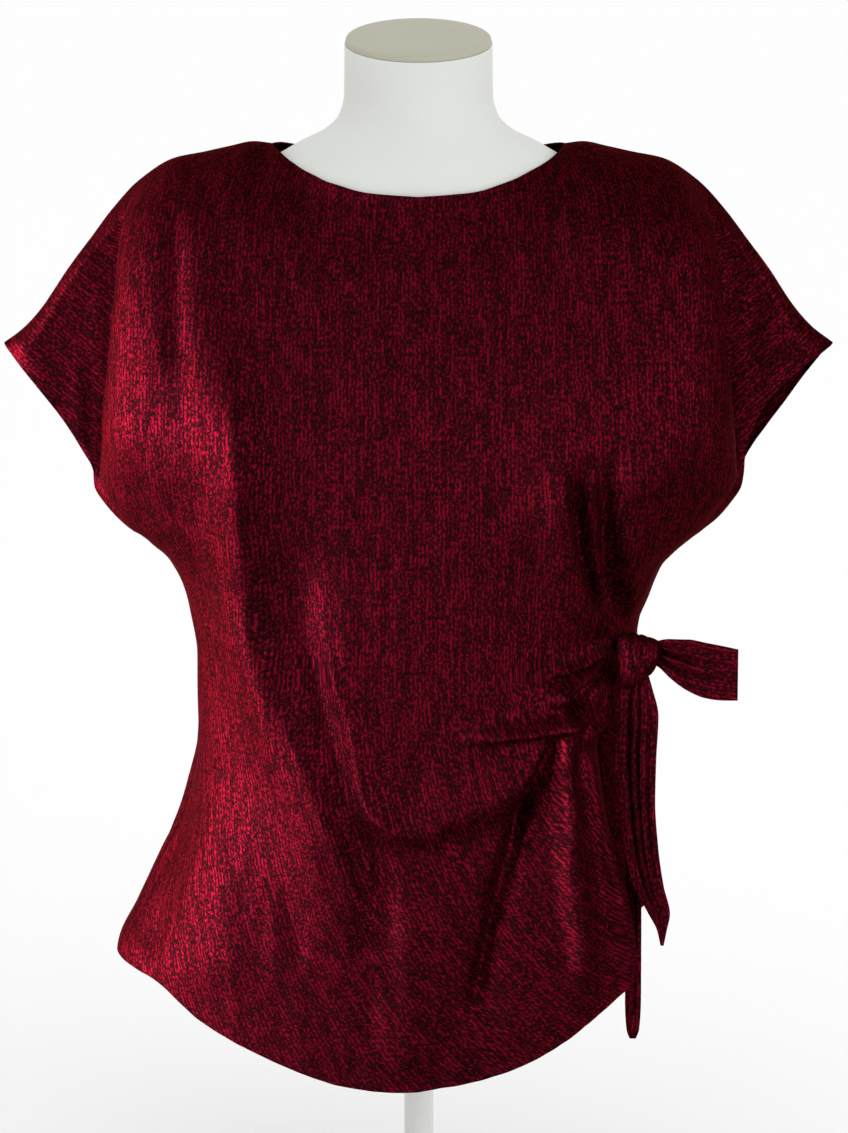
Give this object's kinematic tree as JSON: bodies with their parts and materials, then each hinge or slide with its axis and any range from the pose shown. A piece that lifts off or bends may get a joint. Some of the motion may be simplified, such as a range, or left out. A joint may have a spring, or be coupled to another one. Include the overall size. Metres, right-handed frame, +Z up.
{
  "type": "tie waist top on dress form",
  "caption": "Short dolman-sleeved top in dark red crinkle cloth, gathered and knotted at the right waist, worn on a white limbless dress form with a stand.",
  "frame": {"origin": "middle of the stand base's underside, where it rests on the floor", "axes": "+Z up, -Y the garment's front, +X the side with the knot, as seen from the front on the right"},
  "size_m": [0.611, 0.28, 0.9077],
  "materials": {
    "crinkle_cloth": "crinkled knit with red glitter threads",
    "form_plastic": "matte white",
    "neck_cap": "matte pale",
    "stand_metal": "satin white paint"
  },
  "bodies": {
    "root": {"front": "crinkle_cloth", "back": "crinkle_cloth", "knot": "crinkle_cloth", "tie_end_side": "crinkle_cloth", "tie_tail_front": "crinkle_cloth", "tie_tail_rear": "crinkle_cloth", "dress_form": "form_plastic", "form_neck_cap": "neck_cap", "stand_pole": "stand_metal", "stand_base": "stand_metal"}
  },
  "joints": []
}
